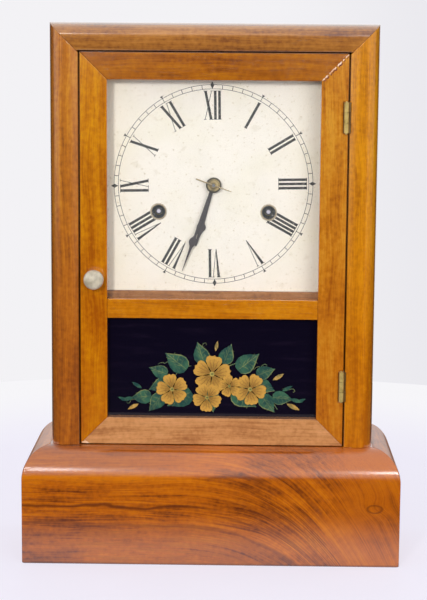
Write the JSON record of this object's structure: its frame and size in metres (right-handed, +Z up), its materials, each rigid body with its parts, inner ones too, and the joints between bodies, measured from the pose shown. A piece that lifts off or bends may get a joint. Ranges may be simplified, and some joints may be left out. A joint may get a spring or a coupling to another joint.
{
  "type": "cottage clock",
  "caption": "Small wooden mantel clock with a rounded base, a mitred case, a door with a clear pane over a black painted one, a Roman dial and a pendulum movement that strikes a gong.",
  "frame": {"origin": "the middle of the base's underside, where the clock stands on a shelf", "axes": "+X to the right as the clock is looked at, +Y from the door into the case, +Z up"},
  "size_m": [0.2588, 0.0952, 0.368],
  "materials": {
    "case_wood": "worn shellac over figured veneer",
    "base_wood": "worn shellac over figured veneer",
    "door_wood": "worn shellac over straight-grained veneer",
    "pale_wood": "unfinished softwood",
    "clear_glass": "clear",
    "painted_glass": "painted black behind, with flowers and leaves",
    "brass": "dull",
    "steel": "dull",
    "blued_steel": "dark blued",
    "iron": "black",
    "dial_paint": "matt cream paint with black figures",
    "porcelain": "glazed"
  },
  "bodies": {
    "case": {"base_front_board": "base_wood", "base_left_board": "base_wood", "base_right_board": "base_wood", "base_floor": "pale_wood", "left_case_side": "case_wood", "right_case_side": "case_wood", "top_board": "case_wood", "back_board": "pale_wood", "left_front_moulding": "case_wood", "right_front_moulding": "case_wood", "top_front_moulding": "case_wood", "upper_hinge_case_leaf": "brass", "lower_hinge_case_leaf": "brass", "dial_ledge": "pale_wood", "left_dial_cleat": "pale_wood", "right_dial_cleat": "pale_wood", "left_movement_rail": "pale_wood", "right_movement_rail": "pale_wood", "dial_plate": "dial_paint", "movement_front_plate": "brass", "movement_back_plate": "brass", "pendulum_cock": "brass", "time_mainspring": "steel", "strike_mainspring": "steel", "gong_coil": "steel", "gong_foot": "iron"},
    "door": {"door_left_stile": "door_wood", "door_right_stile": "door_wood", "door_top_rail": "door_wood", "door_middle_rail": "door_wood", "door_bottom_rail": "door_wood", "dial_glass": "clear_glass", "tablet_glass": "painted_glass", "upper_hinge_door_leaf": "brass", "lower_hinge_door_leaf": "brass"},
    "latch": {"door_knob": "porcelain", "latch_hook": "brass"},
    "minute": {"centre_arbor": "steel", "minute_hand": "blued_steel", "hand_washer": "brass", "hand_pin": "steel"},
    "minute_wheel": {"minute_wheel": "brass"},
    "hour": {"hour_wheel": "brass", "hour_hand": "blued_steel"},
    "time_great": {"time_great_wheel": "brass"},
    "time_winding": {"time_winding_arbor": "steel"},
    "second": {"second_wheel": "brass"},
    "centre": {"centre_wheel": "brass"},
    "third": {"third_wheel": "brass"},
    "escape": {"escape_wheel": "brass"},
    "verge": {"verge": "steel"},
    "pendulum": {"pendulum_rod": "steel"},
    "bob": {"pendulum_bob": "brass", "rating_nut": "brass"},
    "strike_great": {"strike_great_wheel": "brass"},
    "strike_winding": {"strike_winding_arbor": "steel"},
    "pin_wheel": {"pin_wheel": "brass"},
    "lock_wheel": {"lock_wheel": "brass"},
    "fly": {"fly": "brass"},
    "hammer": {"hammer": "steel"}
  },
  "joints": [
    {"name": "door_swing", "type": "hinge", "parent": "case", "child": "door", "pos_m": [0.0886, -0.0312, 0.2143], "axis": [0, 0, 1], "range_deg": [0, 115]},
    {"name": "latch_turn", "type": "hinge", "parent": "door", "child": "latch", "pos_m": [-0.0804, -0.0302, 0.1959], "axis": [0, -1, 0], "range_deg": [0, 90]},
    {"name": "hand_setting", "type": "hinge", "parent": "case", "child": "minute", "pos_m": [0, 0.015, 0.2587], "axis": [0, 1, 0], "continuous": true},
    {"name": "minute_wheel_spin", "type": "hinge", "parent": "case", "child": "minute_wheel", "pos_m": [0, 0.015, 0.2407], "axis": [0, 1, 0], "continuous": true},
    {"name": "hour_spin", "type": "hinge", "parent": "case", "child": "hour", "pos_m": [0, 0.015, 0.2587], "axis": [0, 1, 0], "continuous": true},
    {"name": "third_spin", "type": "hinge", "parent": "case", "child": "third", "pos_m": [0.00467, 0.015, 0.27484], "axis": [0, 1, 0], "continuous": true},
    {"name": "escape_spin", "type": "hinge", "parent": "case", "child": "escape", "pos_m": [0, 0.015, 0.2887], "axis": [0, 1, 0], "continuous": true},
    {"name": "centre_spin", "type": "hinge", "parent": "case", "child": "centre", "pos_m": [0, 0.015, 0.2587], "axis": [0, 1, 0], "continuous": true},
    {"name": "second_spin", "type": "hinge", "parent": "case", "child": "second", "pos_m": [0.01779, 0.015, 0.26144], "axis": [0, 1, 0], "continuous": true},
    {"name": "time_great_spin", "type": "hinge", "parent": "case", "child": "time_great", "pos_m": [0.0378, 0.015, 0.2399], "axis": [0, 1, 0], "continuous": true},
    {"name": "time_winding_turn", "type": "hinge", "parent": "time_great", "child": "time_winding", "pos_m": [0.0378, 0.015, 0.2399], "axis": [0, 1, 0], "range_deg": [0, 2880]},
    {"name": "lock_spin", "type": "hinge", "parent": "case", "child": "lock_wheel", "pos_m": [-0.03238, 0.015, 0.2851], "axis": [0, 1, 0], "continuous": true},
    {"name": "fly_spin", "type": "hinge", "parent": "case", "child": "fly", "pos_m": [-0.02631, 0.015, 0.29562], "axis": [0, 1, 0], "continuous": true},
    {"name": "pin_wheel_spin", "type": "hinge", "parent": "case", "child": "pin_wheel", "pos_m": [-0.03073, 0.015, 0.26627], "axis": [0, 1, 0], "continuous": true},
    {"name": "strike_great_spin", "type": "hinge", "parent": "case", "child": "strike_great", "pos_m": [-0.0378, 0.015, 0.2399], "axis": [0, 1, 0], "continuous": true},
    {"name": "strike_winding_turn", "type": "hinge", "parent": "strike_great", "child": "strike_winding", "pos_m": [-0.0378, 0.015, 0.2399], "axis": [0, 1, 0], "range_deg": [0, 2880]},
    {"name": "pendulum_swing", "type": "hinge", "parent": "case", "child": "pendulum", "pos_m": [0, 0.0365, 0.3037], "axis": [0, 1, 0], "range_deg": [-4, 4]},
    {"name": "verge_rock", "type": "hinge", "parent": "case", "child": "verge", "pos_m": [0, 0.015, 0.3037], "axis": [0, 1, 0], "range_deg": [-4, 4]},
    {"name": "bob_rating", "type": "slide", "parent": "pendulum", "child": "bob", "axis": [0, 0, 1], "range_m": [-0.006, 0.006]},
    {"name": "hammer_lift", "type": "hinge", "parent": "case", "child": "hammer", "pos_m": [-0.052, 0.015, 0.2682], "axis": [0, 1, 0], "range_deg": [0, 5], "stiffness_Nm_per_rad": 0.02, "springref_deg": -5.73}
  ],
  "couplings": [
    {"joint": "minute_wheel_spin", "follows": "hand_setting", "ratio": -0.33333},
    {"joint": "hour_spin", "follows": "hand_setting", "ratio": 0.083333},
    {"joint": "escape_spin", "follows": "third_spin", "ratio": -10},
    {"joint": "centre_spin", "follows": "third_spin", "ratio": -0.090909},
    {"joint": "second_spin", "follows": "third_spin", "ratio": 0.022727},
    {"joint": "time_great_spin", "follows": "third_spin", "ratio": -0.0037879},
    {"joint": "fly_spin", "follows": "lock_spin", "ratio": -8},
    {"joint": "pin_wheel_spin", "follows": "lock_spin", "ratio": -0.076923},
    {"joint": "strike_great_spin", "follows": "lock_spin", "ratio": 0.0059172},
    {"joint": "verge_rock", "follows": "pendulum_swing", "ratio": 1}
  ]
}
